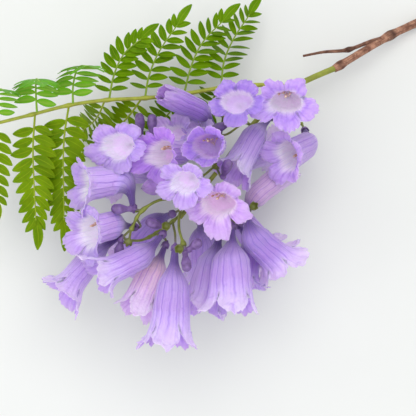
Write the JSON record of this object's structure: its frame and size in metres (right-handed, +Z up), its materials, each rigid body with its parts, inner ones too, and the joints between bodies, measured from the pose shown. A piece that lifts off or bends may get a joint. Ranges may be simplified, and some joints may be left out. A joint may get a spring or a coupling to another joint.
{
  "type": "flowering jacaranda branch",
  "caption": "Cut branch end of a jacaranda tree, lying face up: a woody twig, a hanging-type cluster of lilac bell flowers with buds, and one feathery leaf.",
  "frame": {"origin": "under the middle of the spray, on the surface that it lies on", "axes": "+Z up, towards whoever looks down on the flowers; +X along the leaf, from its far tip to the cut end of the twig; +Y from the lowest hanging bells to the leaf's upper row"},
  "size_m": [0.269, 0.1738, 0.1146],
  "materials": {
    "bark": "rough thin bark, brown with paler pores",
    "stem": "smooth green stalk, satin",
    "petal": "thin soft petal, matt with a silky sheen",
    "petal_deep": "thin soft petal of a bloom that is still opening, matt with a silky sheen",
    "leaflet": "thin leaf, satin"
  },
  "bodies": {
    "root": {"bloom_back_bottom": "petal", "bloom_back_left": "petal", "bloom_back_lower_left": "petal", "bloom_back_lower_right": "petal", "bloom_back_right": "petal", "bloom_bottom_behind": "petal", "bloom_bottom_inner": "petal", "bloom_bottom_left": "petal", "bloom_bottom_middle": "petal", "bloom_bottom_outer": "petal", "bloom_bottom_right": "petal", "bloom_crown_behind": "petal", "bloom_crown_left": "petal_deep", "bloom_crown_middle": "petal", "bloom_crown_right": "petal", "bloom_front_left": "petal", "bloom_front_right": "petal", "bloom_left_inner": "petal_deep", "bloom_left_lower": "petal", "bloom_left_upper": "petal", "bloom_lower_behind": "petal", "bloom_lower_right": "petal", "bloom_right_lower": "petal", "bloom_right_outer": "petal", "bloom_right_upper": "petal", "bloom_upper_behind": "petal", "bloom_upper_left": "petal", "bloom_upper_middle": "petal", "bloom_upper_right": "petal", "leaf_rachis": "stem", "panicle_stem": "stem", "pinna_1_lower": "leaflet", "pinna_1_upper": "leaflet", "pinna_2_lower": "leaflet", "pinna_2_upper": "leaflet", "pinna_3_lower": "leaflet", "pinna_3_upper": "leaflet", "pinna_4_lower": "leaflet", "pinna_4_upper": "leaflet", "pinna_5_lower": "leaflet", "pinna_5_upper": "leaflet", "pinna_6_lower": "leaflet", "pinna_6_upper": "leaflet", "pinna_7_lower": "leaflet", "pinna_7_upper": "leaflet", "pinna_end": "leaflet", "stalks_back": "stem", "stalks_crown": "stem", "stalks_front": "stem", "stalks_left": "stem", "stalks_lower": "stem", "stalks_lower_left": "stem", "stalks_lower_right": "stem", "stalks_right": "stem", "stalks_upper_left": "stem", "twig": "bark"}
  },
  "joints": []
}
